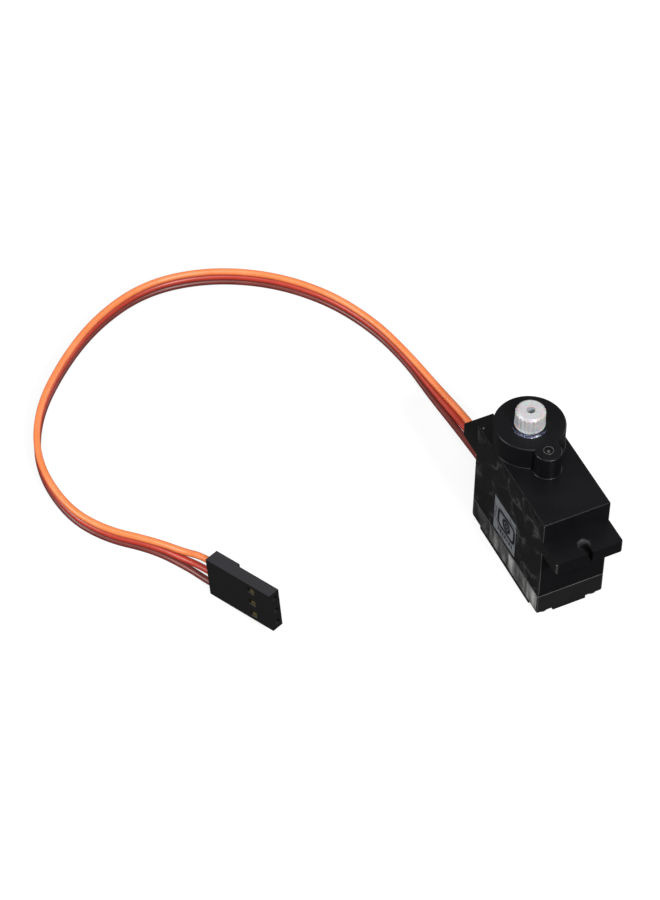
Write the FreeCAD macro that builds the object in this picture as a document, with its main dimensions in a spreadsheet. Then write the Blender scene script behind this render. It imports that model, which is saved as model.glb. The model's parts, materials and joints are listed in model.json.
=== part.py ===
"""Micro servo motor: three-shell case, geared output, motor, feedback pot, board and a three-wire lead.

Millimetres. Z is up; the origin is the middle of the case on its underside. The output shaft and the
lead are at the +X end, and the label is on the +Y side.
"""
import math
import os
import re

import FreeCAD
import Part
import Sketcher
from FreeCAD import Placement, Rotation, Vector

doc = FreeCAD.newDocument("micro_servo")

# whole numbers of teeth, which set the ratios
MOTOR_TEETH = 9
FIRST_TEETH = 38
PINION_TEETH = 12
WHEEL_TEETH = 39
SPLINE_TEETH = 21

# tooth proportions, in modules
ADDENDUM = 0.8
DEDENDUM = 1.1

# ---------------------------------------------------------------- sizes
# Numbers are set by hand; a formula is worked out from other rows.
SIZES = [
    # shared
    ("fit_gap", 0.03, "radial clearance of parts that fit together"),
    ("running_gap", 0.04, "radial clearance of parts that turn"),
    ("over", 1.0, "how far a cutting tool runs past a face"),
    ("bite", 0.1, "how far fused pieces reach into each other"),
    # case walls
    ("wall", 1.0, "middle case and bottom cover"),
    ("gear_wall", 0.6, "walls round the gears"),
    ("deck_wall", 0.9, "deck and tower roof"),
    ("floor_wall", 1.0, "floor of the bottom cover"),
    ("plate_wall", 1.2, "gear plate"),
    ("plate_rim", 0.9, "middle case above the gear plate"),
    ("seam_low", 4.7, "bottom cover to middle case"),
    ("case_corner", 0.25, "radius of the vertical edges"),
    ("deck_edge", 0.25, "radius round the deck"),
    ("tower_edge", 0.3, "radius round the tower top"),
    # gears
    ("gear_module", 0.25, "all gears"),
    ("centre_slack", 0.05, "added to each centre distance"),
    ("backlash", 0.05, "taken off each tooth"),
    ("wheel_thick", 0.95, "first two gear wheels"),
    ("third_thick", 1.2, "third gear wheel"),
    ("output_thick", 2.2, "output gear wheel"),
    ("layer_gap", 0.2, "between two gear layers"),
    ("side_gap", 0.225, "tips of the widest gear to the case walls"),
    ("tower_gap", 0.205, "tips of the output gear to the tower wall"),
    ("lobe_gap", 0.25, "tips of the third gear's pinion to the lobe wall"),
    ("headroom", 0.6, "third gear wheel to the deck"),
    ("pin_diameter", 1.0, "idler pin"),
    ("pin_seat", 0.4, "depth of the idler pin in the lobe roof"),
    ("hub_diameter", 6.8, "hub of the output gear"),
    ("hub_height", 2.6, "hub of the output gear"),
    ("journal_diameter", 5.0, "output journal in the tower roof"),
    ("collar_wall", 0.5, "collar under the second gear"),
    ("tip_radius", f"=gear_module * ({WHEEL_TEETH} / 2 + {ADDENDUM})", "the widest gear wheels"),
    ("pin_offset", f"=gear_module * {WHEEL_TEETH + PINION_TEETH} / 2 + centre_slack", "idler pin to output"),
    ("motor_offset", f"=gear_module * {FIRST_TEETH + MOTOR_TEETH} / 2 + centre_slack", "motor to idler pin"),
    # tower
    ("tower_wall", 0.57, "wall of the gear tower"),
    ("lobe_wall", 0.3, "wall of the idler lobe"),
    ("tower_inset", 0.3, "tower to the end of the case"),
    ("tower_bore", "=tip_radius + tower_gap", "radius inside the gear tower"),
    ("tower_diameter", "=2 * (tower_bore + tower_wall)", "gear tower"),
    ("lobe_bore", f"=2 * (gear_module * ({PINION_TEETH} / 2 + {ADDENDUM}) + lobe_gap)", "inside the lobe"),
    ("lobe_diameter", "=lobe_bore + 2 * lobe_wall", "idler lobe beside the tower"),
    # motor
    ("can_diameter", 7.0, "motor can"),
    ("can_length", 9.8, "motor can"),
    ("can_wall", 0.35, "motor can"),
    ("cap_thick", 1.0, "motor end cap"),
    ("cap_rim", 0.1, "end cap inside the can's outline"),
    ("cap_floor", 0.3, "end cap below its bearing"),
    ("nose_diameter", 3.0, "motor nose through the gear plate"),
    ("nose_length", 1.0, "motor nose"),
    ("magnet_thick", 0.6, "motor magnets"),
    ("magnet_length", 7.0, "motor magnets"),
    ("magnet_split", 1.6, "gap between the two magnets"),
    ("motor_shaft", 1.0, "motor shaft diameter"),
    ("shaft_play", 0.1, "end play of the motor shaft"),
    ("armature_diameter", 4.7, "motor armature"),
    ("armature_length", 6.0, "motor armature"),
    ("slot_diameter", 1.6, "winding slots of the armature"),
    ("slot_inset", 0.35, "slot axis inside the armature's rim"),
    ("commutator_diameter", 2.0, "motor commutator"),
    ("commutator_gap", 0.2, "commutator to the end cap"),
    ("tab_gap", 0.9, "motor to circuit board, bridged by its tabs"),
    ("tab_thick", 0.4, "motor tabs, along X"),
    ("tab_width", 1.2, "motor tabs, along Y"),
    ("tab_offset", 2.2, "motor tabs from the motor's axis"),
    # case
    ("case_width", "=2 * (tip_radius + side_gap + gear_wall)", "case, along Y"),
    (
        "case_length",
        "=wall + can_diameter / 2 + motor_offset + pin_offset + tower_diameter / 2 + tower_inset",
        "case, along X",
    ),
    ("output_x", "=case_length / 2 - tower_inset - tower_diameter / 2", "output axis"),
    ("pin_x", "=output_x - pin_offset", "idler pin"),
    ("motor_x", "=pin_x - motor_offset", "motor axis"),
    # mounting ears
    ("ear_length", 4.75, "ear beyond the case end"),
    ("ear_thick", 2.45, "ear, along Z"),
    ("ear_corner", 0.4, "corner radius of the ears"),
    ("ear_hole", 2.06, "round part of the keyhole"),
    ("ear_hole_inset", 2.6, "keyhole centre from the case end"),
    ("ear_slot", 1.05, "slot that opens the keyhole"),
    # case screws
    ("screw_inset", 1.45, "screw axis from both sides of the case"),
    ("screw_shank", 1.5, "screw shank diameter"),
    ("screw_reach", 2.6, "screw above the upper seam"),
    ("screw_play", 0.2, "pilot hole beyond the screw's end"),
    ("screw_head", 2.4, "screw head diameter"),
    ("head_thick", 0.6, "screw head height"),
    ("cross_length", 1.5, "cross recess"),
    ("cross_width", 0.32, "cross recess"),
    ("cross_depth", 0.36, "cross recess"),
    ("post_diameter", 2.5, "screw posts in the case corners"),
    ("notch_length", 2.9, "corner notch, along X"),
    ("notch_width", 2.95, "corner notch, along Y"),
    ("notch_depth", 0.65, "corner notch, along Z"),
    # board
    ("board_gap", 0.2, "circuit board to the walls and screw posts"),
    ("board_low", 3.5, "underside of the circuit board"),
    ("board_thick", 0.8, "circuit board"),
    ("board_width", "=case_width - 2 * (wall + board_gap)", "circuit board"),
    ("board_length", "=case_length - 2 * (screw_inset + post_diameter / 2 + board_gap)", "circuit board"),
    ("ledge_thick", 0.8, "ledges that carry the board"),
    ("ledge_inset", 1.0, "ledges inside the board's long edges"),
    ("chip_size", 4.0, "driver chip"),
    ("chip_thick", 0.9, "driver chip"),
    ("chip_x", 1.5, "driver chip"),
    ("part_length", 1.0, "small capacitors and resistors"),
    ("part_width", 0.5, "small capacitors and resistors"),
    ("capacitor_thick", 0.5, "small capacitors"),
    ("resistor_thick", 0.35, "resistors"),
    ("part_row", 3.4, "outer rows of small parts, along Y"),
    ("part_near", 5.8, "small parts at the output end, along X"),
    ("part_mid", -2.6, "small parts in the middle, along X"),
    ("part_far", -5.2, "small parts at the motor end, along X"),
    ("tank_diameter", 2.6, "tank capacitor"),
    ("tank_height", 3.2, "tank capacitor"),
    ("tank_x", -1.4, "tank capacitor"),
    # heights, from the floor up
    ("board_top", "=board_low + board_thick", "circuit board"),
    ("cap_low", "=board_top + tab_gap", "underside of the motor's end cap"),
    ("can_low", "=cap_low + cap_thick", "underside of the motor can"),
    ("plate_low", "=can_low + can_length", "underside of the gear plate"),
    ("plate_top", "=plate_low + plate_wall", "gear plate"),
    ("seam_high", "=plate_top + plate_rim", "middle case to top cover"),
    ("first_low", "=plate_top + layer_gap", "underside of the first gear wheel"),
    ("second_low", "=first_low + wheel_thick + layer_gap", "underside of the second"),
    ("third_low", "=second_low + wheel_thick + layer_gap", "underside of the third"),
    ("output_low", "=third_low + third_thick + layer_gap", "underside of the output gear"),
    ("hub_low", "=output_low + output_thick", "underside of its hub"),
    ("deck_height", "=third_low + third_thick + headroom + deck_wall", "top of the deck"),
    ("roof_low", "=hub_low + hub_height", "underside of the tower roof"),
    ("tower_height", "=roof_low + deck_wall", "top of the gear tower"),
    ("screw_end", "=seam_high + screw_reach", "top end of the screws"),
    ("pin_low", "=plate_low + pin_seat / 2", "lower end of the idler pin"),
    ("pin_high", "=tower_height - 2 * pin_seat", "upper end of the idler pin"),
    # output spline
    ("spline_diameter", 4.9, "output spline, over the teeth"),
    ("spline_root", 4.66, "output spline, under the teeth"),
    ("spline_length", 2.85, "output spline"),
    ("spline_foot", 0.2, "journal that stands over the tower"),
    ("spline_lead_in", 0.4, "chamfer at the spline's end"),
    ("horn_bore", 1.5, "hole for the horn screw"),
    ("horn_bore_depth", 5.0, "its depth"),
    ("spline_low", "=tower_height + spline_foot", "foot of the spline"),
    ("spline_top", "=spline_low + spline_length", "end of the spline"),
    # feedback potentiometer
    ("pot_gap", 0.7, "potentiometer to the case walls"),
    ("pot_diameter", "=case_width - 2 * (wall + pot_gap)", "potentiometer body"),
    ("pot_thick", 3.2, "potentiometer body"),
    ("pot_wall", 0.6, "potentiometer body"),
    ("pot_low", "=plate_low - pot_thick", "underside of the potentiometer"),
    ("pot_shaft", 1.5, "potentiometer shaft diameter"),
    ("pot_shaft_reach", 0.3, "potentiometer shaft above the output gear wheel"),
    ("pot_shaft_end", "=hub_low + pot_shaft_reach", "top end of the potentiometer shaft"),
    ("track_thick", 0.2, "resistive track"),
    ("wiper_length", 5.6, "wiper arm"),
    ("wiper_width", 0.8, "wiper arm"),
    ("wiper_thick", 0.3, "wiper arm"),
    ("wiper_low", "=pot_low + pot_wall + track_thick + layer_gap", "underside of the wiper"),
    ("pot_tab", 0.9, "potentiometer tabs, along X and Y"),
    ("pot_tab_length", 0.8, "potentiometer tabs, along Z"),
    ("pot_tab_inset", 2.6, "potentiometer tabs from its rim"),
    ("pot_tab_pitch", 1.5, "potentiometer tab to tab"),
    ("hookup_diameter", 0.6, "inner hook-up wires"),
    # lead
    ("wire_diameter", 1.15, "each wire of the lead"),
    ("wire_pitch", 1.22, "wire to wire in the ribbon"),
    ("exit_width", 4.2, "lead exit, along Y"),
    ("exit_height", 1.5, "lead exit, along Z"),
    # plug
    ("contact_pitch", 2.54, "contact to contact"),
    ("contact_size", 1.5, "contact cavity"),
    ("contact_inset", 1.0, "wire end of the contacts inside the housing"),
    ("pin_hole", 0.9, "hole for a mating pin"),
    ("plug_length", 14.0, "plug housing"),
    ("plug_height", "=3 * contact_pitch", "plug housing"),
    ("plug_thick", 2.57, "plug housing, wire end"),
    ("plug_front_thick", 2.13, "plug housing, mating end"),
    ("plug_step", 5.1, "length of the thicker wire end"),
    ("plug_end_wall", 1.2, "wall at the mating end"),
    ("window_inset", 4.95, "far edge of the windows from the mating end"),
    ("window_length", 1.5, "window over each contact, along the plug"),
    ("window_height", 1.2, "window over each contact, across the plug"),
    # label
    ("label_length", 7.4, "label, along X"),
    ("label_height", 7.75, "label, along Z"),
    ("label_x", 0.7, "middle of the label"),
    ("label_low", 5.4, "lower edge of the label"),
    ("label_thick", 0.1, "label, let in flush"),
]

sheet = doc.addObject("Spreadsheet::Sheet", "Sizes")
for row, (alias, _, note) in enumerate(SIZES, 1):
    sheet.set(f"A{row}", note)
    sheet.setAlias(f"B{row}", alias)
for row, (_, amount, _) in enumerate(SIZES, 1):
    sheet.set(f"B{row}", str(amount))
doc.recompute()

ALIASES = re.compile(r"\b(" + "|".join(alias for alias, _, _ in SIZES) + r")\b")
CELLS = {alias: float(sheet.get(alias)) for alias, _, _ in SIZES}


def linked(text):
    """An expression in which every alias names its cell in the sheet."""
    return ALIASES.sub(r"Sizes.\1", text)


def value(text):
    """The number that an expression of aliases comes to."""
    return total(re.findall(r"[a-z_]+|[0-9.]+|[()+\-*/]", text))


def total(tokens):
    """Sum of the terms at the front of a token list, which it uses up."""
    result = term(tokens)
    while tokens and tokens[0] in "+-":
        sign = 1 if tokens.pop(0) == "+" else -1
        result += sign * term(tokens)
    return result


def term(tokens):
    """Product of the factors at the front of a token list."""
    result = factor(tokens)
    while tokens and tokens[0] in "*/":
        if tokens.pop(0) == "*":
            result *= factor(tokens)
        else:
            result /= factor(tokens)
    return result


def factor(tokens):
    """One number, alias, sign or bracket at the front of a token list."""
    token = tokens.pop(0)
    if token == "-":
        return -factor(tokens)
    if token == "(":
        result = total(tokens)
        tokens.pop(0)
        return result
    return CELLS[token] if token in CELLS else float(token)


def bind(item, **expressions):
    """Tie properties of an object to the sheet; x, y and z are its place."""
    for name, text in expressions.items():
        path = f"Placement.Base.{name}" if name in ("x", "y", "z") else name
        item.setExpression(path, linked(text))
    return item


def block(name, length, width, height, x="0", y="0", z="0"):
    """A box centred on x and y that stands on z."""
    item = doc.addObject("Part::Box", name)
    return bind(
        item,
        Length=length,
        Width=width,
        Height=height,
        x=f"{x} - ({length}) / 2",
        y=f"{y} - ({width}) / 2",
        z=z,
    )


def rod(name, radius, low, high, x="0", y="0"):
    """An upright cylinder from low to high."""
    item = doc.addObject("Part::Cylinder", name)
    return bind(item, Radius=radius, Height=f"({high}) - ({low})", x=x, y=y, z=low)


def joined(name, pieces):
    """One solid made of several."""
    item = doc.addObject("Part::MultiFuse", name)
    item.Shapes = pieces
    item.Refine = True
    return item


def group(name, pieces):
    """Separate solids in one node."""
    item = doc.addObject("Part::Compound", name)
    item.Links = pieces
    return item


def cut(name, base, tools):
    """A base less one or more tools."""
    item = doc.addObject("Part::Cut", name)
    item.Base = base
    item.Tool = tools[0] if len(tools) == 1 else joined(name + "_tools", tools)
    return item


def rounded(name, length, width, height, corner, z, edge=None, x="0"):
    """A PartDesign block with rounded upright edges and, if edge is given, a rounded top."""
    body = doc.addObject("PartDesign::Body", name)
    sketch = body.newObject("Sketcher::SketchObject", name + "_outline")
    base = next(p for p in body.Origin.OriginFeatures if p.Role == "XY_Plane")
    sketch.AttachmentSupport = [(base, "")]
    sketch.MapMode = "FlatFace"
    half_x, half_y = value(length) / 2, value(width) / 2
    corners = [(-half_x, -half_y), (half_x, -half_y), (half_x, half_y), (-half_x, half_y)]
    for i in range(4):
        start, end = Vector(*corners[i], 0), Vector(*corners[(i + 1) % 4], 0)
        sketch.addGeometry(Part.LineSegment(start, end))
    for i in range(4):
        sketch.addConstraint(Sketcher.Constraint("Coincident", i, 2, (i + 1) % 4, 1))
    for i, way in enumerate(("Horizontal", "Vertical", "Horizontal", "Vertical")):
        sketch.addConstraint(Sketcher.Constraint(way, i))
    sketch.addConstraint(Sketcher.Constraint("Symmetric", 0, 1, 1, 2, -1, 1))
    across = sketch.addConstraint(Sketcher.Constraint("DistanceX", 0, 1, 0, 2, 2 * half_x))
    along = sketch.addConstraint(Sketcher.Constraint("DistanceY", 1, 1, 1, 2, 2 * half_y))
    sketch.setExpression(f"Constraints[{across}]", linked(length))
    sketch.setExpression(f"Constraints[{along}]", linked(width))
    pad = body.newObject("PartDesign::Pad", name + "_pad")
    pad.Profile = sketch
    pad.setExpression("Length", linked(height))
    doc.recompute()
    upright = [
        f"Edge{i}"
        for i, e in enumerate(pad.Shape.Edges, 1)
        if abs(e.Vertexes[0].Z - e.Vertexes[-1].Z) > 1e-6
    ]
    side = body.newObject("PartDesign::Fillet", name + "_corners")
    side.Base = (pad, upright)
    side.setExpression("Radius", linked(corner))
    doc.recompute()
    body.Tip = side
    if edge:
        top = pad.Shape.BoundBox.ZMax
        rim = [
            f"Edge{i}"
            for i, e in enumerate(side.Shape.Edges, 1)
            if min(v.Z for v in e.Vertexes) > top - 1e-6
        ]
        over = body.newObject("PartDesign::Fillet", name + "_rim")
        over.Base = (side, rim)
        over.setExpression("Radius", linked(edge))
        body.Tip = over
    bind(body, x=x, z=z)
    return body


def capped_rod(name, radius, low, high, edge, x):
    """An upright PartDesign cylinder whose top edge is rounded."""
    body = doc.addObject("PartDesign::Body", name)
    turned = body.newObject("PartDesign::AdditiveCylinder", name + "_round")
    turned.setExpression("Radius", linked(radius))
    turned.setExpression("Height", linked(f"({high}) - ({low})"))
    doc.recompute()
    top = turned.Shape.BoundBox.ZMax
    rim = [
        f"Edge{i}"
        for i, e in enumerate(turned.Shape.Edges, 1)
        if min(v.Z for v in e.Vertexes) > top - 1e-6
    ]
    over = body.newObject("PartDesign::Fillet", name + "_rim")
    over.Base = (turned, rim)
    over.setExpression("Radius", linked(edge))
    body.Tip = over
    bind(body, x=x, z=low)
    return body


def at_corners(make, name):
    """One piece at each screw corner: make(name, x, y)."""
    out_x = "(case_length / 2 - screw_inset)"
    out_y = "(case_width / 2 - screw_inset)"
    places = [(f"{a}{out_x}", f"{b}{out_y}") for a in ("", "-") for b in ("", "-")]
    return [make(f"{name}_{i}", x, y) for i, (x, y) in enumerate(places, 1)]


NODES = {}


def node(name, item):
    """Name a finished sub-part; its label names its file."""
    item.Label = name
    NODES[name] = item
    return item


# ---------------------------------------------------------------- case
def posts(name, low, high):
    """The screw posts between two heights."""
    return at_corners(lambda n, x, y: rod(n, "post_diameter / 2", low, high, x, y), name)


def screw_holes(name, low, high):
    """Clearance holes for the case screws between two heights."""
    return at_corners(lambda n, x, y: rod(n, "screw_shank / 2 + fit_gap", low, high, x, y), name)


def room(name, thick, low, high):
    """The inside of the case between two heights, behind walls of a given thickness."""
    return block(
        name, f"case_length - 2 * {thick}", f"case_width - 2 * {thick}", f"({high}) - ({low})", z=low
    )


def top_cover():
    """The deck and the gear tower, open below."""
    base = "seam_high + deck_wall"
    outer = joined(
        "top_outer",
        [
            rounded(
                "deck", "case_length", "case_width", "deck_height - seam_high",
                "case_corner", "seam_high", "deck_edge",
            ),
            capped_rod("tower", "tower_diameter / 2", base, "tower_height", "tower_edge", "output_x"),
            capped_rod("lobe", "lobe_diameter / 2", base, "tower_height", "tower_edge", "pin_x"),
        ],
    )
    hollow = cut(
        "top_hollow",
        room("top_room", "gear_wall", "seam_high - over", "deck_height - deck_wall"),
        posts("top_post", "seam_high - 2 * over", "deck_height"),
    )
    inside = "seam_high - over"
    outside = "tower_height + over"
    tools = [
        hollow,
        rod("tower_room", "tower_bore", inside, "roof_low", "output_x"),
        rod("lobe_room", "lobe_bore / 2", inside, "pin_high - deck_wall / 2", "pin_x"),
        rod("journal_hole", "journal_diameter / 2 + running_gap", inside, outside, "output_x"),
        rod("pin_pocket", "pin_diameter / 2 + fit_gap", inside, "pin_high", "pin_x"),
        rod("lobe_dimple", "pin_diameter / 2", "tower_height - pin_seat / 2", outside, "pin_x"),
        *screw_holes("top_pilot", inside, "screw_end + screw_play"),
    ]
    return cut("top", outer, tools)


def keyhole(name, side):
    """Cutters for one ear's screw hole and the slot that opens it; side is "" or "-"."""
    low = "seam_high - ear_thick - over"
    hole_x = f"{side}(case_length / 2 + ear_hole_inset)"
    slot_x = f"{side}(case_length / 2 + ear_length)"
    return [
        rod(name + "_round", "ear_hole / 2", low, "seam_high + over", hole_x),
        block(
            name + "_slot", "2 * (ear_length - ear_hole_inset)", "ear_slot", "ear_thick + 2 * over",
            x=slot_x, z=low,
        ),
    ]


def middle_case():
    """The sleeve with the mounting ears and the plate that the gears stand on."""
    outer = joined(
        "middle_outer",
        [
            rounded("sleeve", "case_length", "case_width", "seam_high - seam_low", "case_corner", "seam_low"),
            rounded(
                "ears", "case_length + 2 * ear_length", "case_width", "ear_thick",
                "ear_corner", "seam_high - ear_thick",
            ),
        ],
    )
    below = cut(
        "middle_hollow",
        room("motor_room", "wall", "seam_low - over", "plate_low"),
        posts("middle_post", "seam_low - 2 * over", "seam_high"),
    )
    above = cut(
        "plate_hollow",
        room("gear_room", "gear_wall", "plate_top", "seam_high + over"),
        posts("plate_post", "seam_low", "seam_high + 2 * over"),
    )
    under, past = "plate_low - over", "plate_top + over"
    tools = [
        below,
        above,
        rod("nose_hole", "nose_diameter / 2 + fit_gap", under, past, "motor_x"),
        rod("pot_hole", "pot_shaft / 2 + running_gap", under, past, "output_x"),
        rod("pin_socket", "pin_diameter / 2 + fit_gap", "pin_low", past, "pin_x"),
        block(
            "lead_exit", "4 * wall", "exit_width", "exit_height + over",
            x="case_length / 2", z="seam_low - over",
        ),
        block(
            "label_bed", "label_length", "2 * label_thick", "label_height",
            x="label_x", y="case_width / 2", z="label_low",
        ),
        *keyhole("near_ear", ""),
        *keyhole("far_ear", "-"),
        *screw_holes("middle_pilot", "seam_low - over", "seam_high + over"),
    ]
    return joined("middle", [cut("middle_body", outer, tools), collar()])


def collar():
    """A short collar round the pot shaft that carries the second gear."""
    top = "second_low - 2 * running_gap"
    return cut(
        "collar",
        rod("collar_outer", "pot_shaft / 2 + collar_wall", "plate_top", top, "output_x"),
        [rod("collar_bore", "pot_shaft / 2 + running_gap", "plate_low", "second_low + over", "output_x")],
    )


def bottom_cover():
    """The tray that closes the case and carries the board; its corners are let in for the screw heads."""
    outer = rounded("tray", "case_length", "case_width", "seam_low", "case_corner", "0")
    inside = cut(
        "bottom_hollow",
        room("board_room", "wall", "floor_wall", "seam_low + over"),
        posts("bottom_post", "0", "seam_low + 2 * over"),
    )
    tools = [inside, *screw_holes("bottom_pilot", "-over", "seam_low + over")]
    for i, (a, b) in enumerate(((1, 1), (1, -1), (-1, 1), (-1, -1)), 1):
        tools.append(
            block(
                f"corner_notch_{i}", "2 * notch_length", "2 * notch_width", "over + notch_depth",
                x=f"{a} * case_length / 2", y=f"{b} * case_width / 2", z="-over",
            )
        )
    ledges = [
        block(
            f"board_ledge_{i}", "ledge_thick", "board_width - 2 * ledge_inset", "board_low - floor_wall / 2",
            x=f"{side}(board_length / 2 - ledge_thick)", z="floor_wall / 2",
        )
        for i, side in enumerate(("", "-"), 1)
    ]
    return joined("bottom", [cut("bottom_body", outer, tools), *ledges])


def case_screw(name, x, y):
    """One long screw with a cross recess, head down."""
    head_low = "notch_depth - head_thick"
    shank = rod(name + "_shank", "screw_shank / 2", "notch_depth - head_thick / 2", "screw_end", x, y)
    head = rod(name + "_head", "screw_head / 2", head_low, "notch_depth", x, y)
    cross = [
        block(f"{name}_recess_{i}", a, b, "over + cross_depth", x=x, y=y, z=f"{head_low} - over")
        for i, (a, b) in enumerate((("cross_length", "cross_width"), ("cross_width", "cross_length")), 1)
    ]
    return cut(name, joined(name + "_whole", [shank, head]), cross)


def case_screws():
    """Four long screws that hold the three shells together from below."""
    return group("screws", at_corners(case_screw, "screw"))


def label():
    """The printed foil on the +Y side, let in flush."""
    return block(
        "label_foil", "label_length", "label_thick", "label_height",
        x="label_x", y="case_width / 2 - label_thick / 2", z="label_low",
    )


# ---------------------------------------------------------------- gears
PRESSURE = math.radians(25)
ROOT_LEAST = 0.01  # least straight foot of a tooth


def spot(radius, angle, centre_x=0.0, z=0.0):
    """A point given by its radius and angle about an upright axis."""
    return Vector(centre_x + radius * math.cos(angle), radius * math.sin(angle), z)


def involute(base, radius):
    """The polar angle, in radians, that an involute has turned through at a radius."""
    if radius <= base:
        return 0.0
    roll = math.sqrt((radius / base) ** 2 - 1)
    return roll - math.atan(roll)


def toothed(teeth, low, high, centre_x, tooth_at):
    """A spur gear blank from low to high with a tooth centred at the angle tooth_at, in degrees."""
    module = value("gear_module")
    pitch = module * teeth / 2
    base = pitch * math.cos(PRESSURE)
    tip = pitch + ADDENDUM * module
    root = pitch - DEDENDUM * module
    half_tooth = math.pi / (2 * teeth) - value("backlash") / (2 * pitch) + involute(base, pitch)
    start = max(base, root + ROOT_LEAST)
    flank = [(r, half_tooth - involute(base, r)) for r in (start, (start + tip) / 2, tip)]
    foot = flank[0][1]
    if flank[-1][1] <= 0:
        raise ValueError(f"the teeth of the {teeth}-tooth gear come to a point")
    edges = []
    for i in range(teeth):
        middle = math.radians(tooth_at) + 2 * math.pi * i / teeth
        after = middle + 2 * math.pi / teeth
        right = [spot(r, middle - a) for r, a in flank]
        left = [spot(r, middle + a) for r, a in flank]
        foot_left = spot(root, middle + foot)
        edges.append(Part.LineSegment(spot(root, middle - foot), right[0]).toShape())
        edges.append(Part.Arc(*right).toShape())
        edges.append(Part.Arc(right[-1], spot(tip, middle), left[-1]).toShape())
        edges.append(Part.Arc(*reversed(left)).toShape())
        edges.append(Part.LineSegment(left[0], foot_left).toShape())
        valley = spot(root, (middle + after) / 2)
        edges.append(Part.Arc(foot_left, valley, spot(root, after - foot)).toShape())
    solid = Part.Face(Part.Wire(edges)).extrude(Vector(0, 0, value(high) - value(low)))
    solid.translate(Vector(value(centre_x), 0, value(low)))
    return solid


def turned(radius, low, high, centre_x):
    """A plain upright cylinder as a shape."""
    length = value(high) - value(low)
    return Part.makeCylinder(value(radius), length, Vector(value(centre_x), 0, value(low)))


def feature(name, shape):
    """A Part::Feature that holds a finished shape."""
    item = doc.addObject("Part::Feature", name)
    item.Shape = shape
    return item


def half_step(teeth):
    """Half of one tooth's angle, in degrees."""
    return 180.0 / teeth


def compound_gear(name, teeth, centre_x, low, thick, pinion_end, angles, bore):
    """A large wheel with a small pinion above it, on a plain bore; angles are a tooth of each."""
    top = f"({low} + {thick})"
    wheel = toothed(teeth, low, top, centre_x, angles[0])
    pinion = toothed(PINION_TEETH, f"{top} - bite", pinion_end, centre_x, angles[1])
    hole = turned(bore, f"{low} - over", f"{pinion_end} + over", centre_x)
    return feature(name, wheel.fuse(pinion).cut(hole).removeSplitter())


def first_gear():
    return compound_gear(
        "first_gear_shape", FIRST_TEETH, "pin_x", "first_low", "wheel_thick", "third_low - layer_gap * 3 / 4",
        (180 + half_step(FIRST_TEETH), 0), "pin_diameter / 2 + running_gap",
    )


def second_gear():
    pinion_end = "output_low - layer_gap / 2"
    return compound_gear(
        "second_gear_shape", WHEEL_TEETH, "output_x", "second_low", "wheel_thick", pinion_end,
        (180 + half_step(WHEEL_TEETH), 180), "pot_shaft / 2 + running_gap",
    )


def third_gear():
    return compound_gear(
        "third_gear_shape", WHEEL_TEETH, "pin_x", "third_low", "third_thick", "hub_low + layer_gap",
        (half_step(WHEEL_TEETH), 0), "pin_diameter / 2 + running_gap",
    )


def motor_pinion():
    """The brass pinion on the motor shaft, a little wider than the wheel it drives."""
    low, high = "first_low - layer_gap / 4", "first_low + wheel_thick + layer_gap / 4"
    wheel = toothed(MOTOR_TEETH, low, high, "motor_x", 0)
    hole = turned("motor_shaft / 2 + fit_gap / 2", f"{low} - over", f"{high} + over", "motor_x")
    return feature("motor_pinion_shape", wheel.cut(hole))


def output_spline():
    """The splined end that carries the horn, with a chamfer round its top."""
    tip, root = value("spline_diameter / 2"), value("spline_root / 2")
    gap = math.pi / SPLINE_TEETH
    flat = gap / 4
    centre, low, high = value("output_x"), value("spline_low - bite"), value("spline_top")
    outline = []
    for i in range(SPLINE_TEETH):
        turn = 2 * math.pi * i / SPLINE_TEETH
        outline.append(spot(tip, turn - flat, centre, low))
        outline.append(spot(tip, turn + flat, centre, low))
        outline.append(spot(root, turn + gap - flat / 2, centre, low))
        outline.append(spot(root, turn + gap + flat / 2, centre, low))
    spline = Part.Face(Part.makePolygon(outline + outline[:1])).extrude(Vector(0, 0, high - low))
    lead_in, past = value("spline_lead_in"), value("over")
    shoulder = Vector(centre, 0, high - lead_in - past)
    envelope = Part.makeCone(tip + past, tip - lead_in, lead_in + past, shoulder)
    below = "spline_top - spline_lead_in - over / 2"
    sleeve = turned("spline_diameter / 2 + over", "spline_low - over", below, "output_x")
    return spline.common(envelope.fuse(sleeve))


def output_gear():
    """The last gear, its hub and journal, and the spline that carries the horn."""
    wheel = toothed(WHEEL_TEETH, "output_low", "hub_low", "output_x", 180 + half_step(WHEEL_TEETH))
    hub = turned("hub_diameter / 2", "hub_low - bite", "roof_low - layer_gap / 2", "output_x")
    journal = turned("journal_diameter / 2", "roof_low - layer_gap / 2 - bite", "spline_low", "output_x")
    shape = wheel.fuse([hub, journal, output_spline()])
    shaft_end = "pot_shaft_end + layer_gap"
    holes = [
        turned("pot_shaft / 2 + fit_gap / 2", "output_low - over", shaft_end, "output_x"),
        turned("horn_bore / 2", "spline_top - horn_bore_depth", "spline_top + over", "output_x"),
    ]
    return feature("output_gear_shape", shape.cut(holes).removeSplitter())


def idler_pin():
    """The steel pin that two of the gears spin on, from the plate to the lobe roof."""
    return rod("idler_pin_rod", "pin_diameter / 2", "pin_low", "pin_high", "pin_x")


# ---------------------------------------------------------------- motor
MAGNET_LOW = "(can_low + (can_length - can_wall - magnet_length) / 2)"
POLE_LOW = f"({MAGNET_LOW} + (magnet_length - armature_length) / 2)"
POLE_HIGH = f"({POLE_LOW} + armature_length)"
ON_SHAFT = "motor_shaft / 2 + fit_gap / 2"
ROUND_SHAFT = "motor_shaft / 2 + running_gap"


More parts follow.
